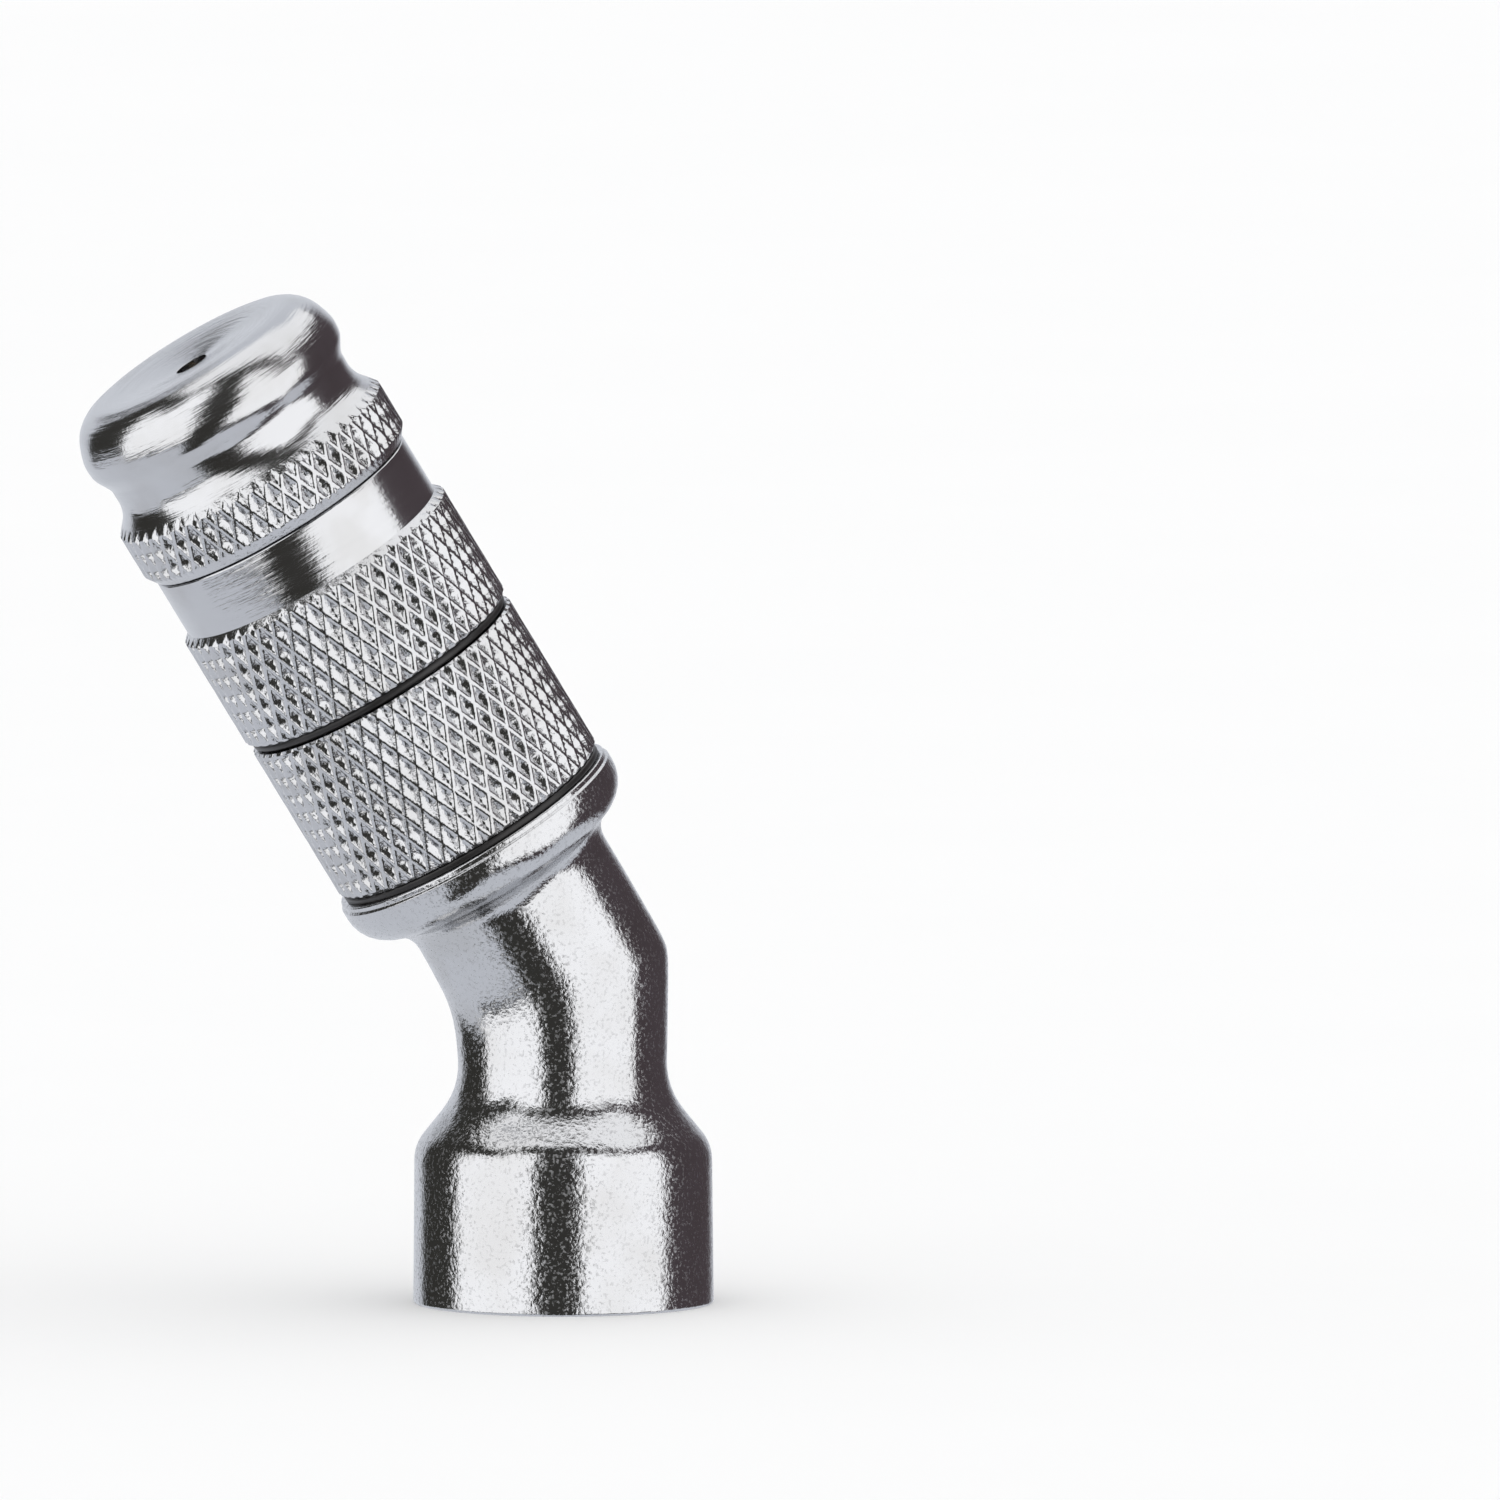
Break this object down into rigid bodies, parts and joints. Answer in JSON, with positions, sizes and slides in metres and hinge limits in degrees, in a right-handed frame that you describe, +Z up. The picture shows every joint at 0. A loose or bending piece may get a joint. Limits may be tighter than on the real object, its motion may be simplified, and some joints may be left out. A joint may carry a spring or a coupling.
{
  "type": "angled spray nozzle head",
  "caption": "Angled spray head: plated elbow with threaded inlet socket, knurled coupling nut, slide-on barrel and screw-adjusted dished spray tip.",
  "frame": {"origin": "centre of the inlet socket's mouth", "axes": "+Z runs up the inlet from the mouth into the elbow; the spray head leans 31.5 degrees from +Z towards -X; +Y completes the frame"},
  "size_m": [0.0372, 0.0178, 0.059],
  "materials": {
    "plated_forging": "blasted forging under bright plating",
    "turned_plating": "fine turned lines and diamond knurls under bright plating",
    "black_rubber": "smooth moulded rubber",
    "grey_rubber": "matt sheet rubber",
    "stainless": "plain stainless steel",
    "bare_brass": "as-turned brass",
    "white_plastic": "low-friction plastic",
    "fibre": "red sealing fibre"
  },
  "bodies": {
    "elbow": {"elbow_body": "plated_forging", "inlet_washer": "grey_rubber", "strainer_ring": "stainless", "strainer_screen": "stainless", "collar_washer": "black_rubber", "nut_thrust_washer": "white_plastic", "nut_snap_ring": "stainless", "rear_spigot_seal": "black_rubber", "front_spigot_seal": "black_rubber"},
    "nut": {"coupling_nut": "turned_plating"},
    "barrel": {"spray_barrel": "turned_plating", "dust_ring": "black_rubber", "barrel_gasket": "grey_rubber", "swirl_stem": "bare_brass", "stem_nut": "bare_brass", "swirl_core": "bare_brass"},
    "tip_seal": {"tip_seal": "black_rubber"},
    "tip": {"spray_tip": "turned_plating", "disc_gasket": "fibre", "orifice_disc": "stainless"}
  },
  "joints": [
    {"name": "nut_turn", "type": "hinge", "parent": "elbow", "child": "nut", "pos_m": [0, 0, 0.019], "axis": [0.5225, 0, -0.8526], "range_deg": [0, 1440]},
    {"name": "barrel_draw", "type": "slide", "parent": "elbow", "child": "barrel", "axis": [-0.5225, 0, 0.8526], "range_m": [0, 0.004]},
    {"name": "tip_advance", "type": "slide", "parent": "barrel", "child": "tip_seal", "axis": [-0.5225, 0, 0.8526], "range_m": [0, 0.002]},
    {"name": "tip_turn", "type": "hinge", "parent": "tip_seal", "child": "tip", "pos_m": [0, 0, 0.019], "axis": [-0.5225, 0, 0.8526], "range_deg": [0, 720]}
  ],
  "couplings": [
    {"joint": "nut_turn", "follows": "barrel_draw", "rad_per_m": 6283.2},
    {"joint": "tip_turn", "follows": "tip_advance", "rad_per_m": 6283.2}
  ]
}
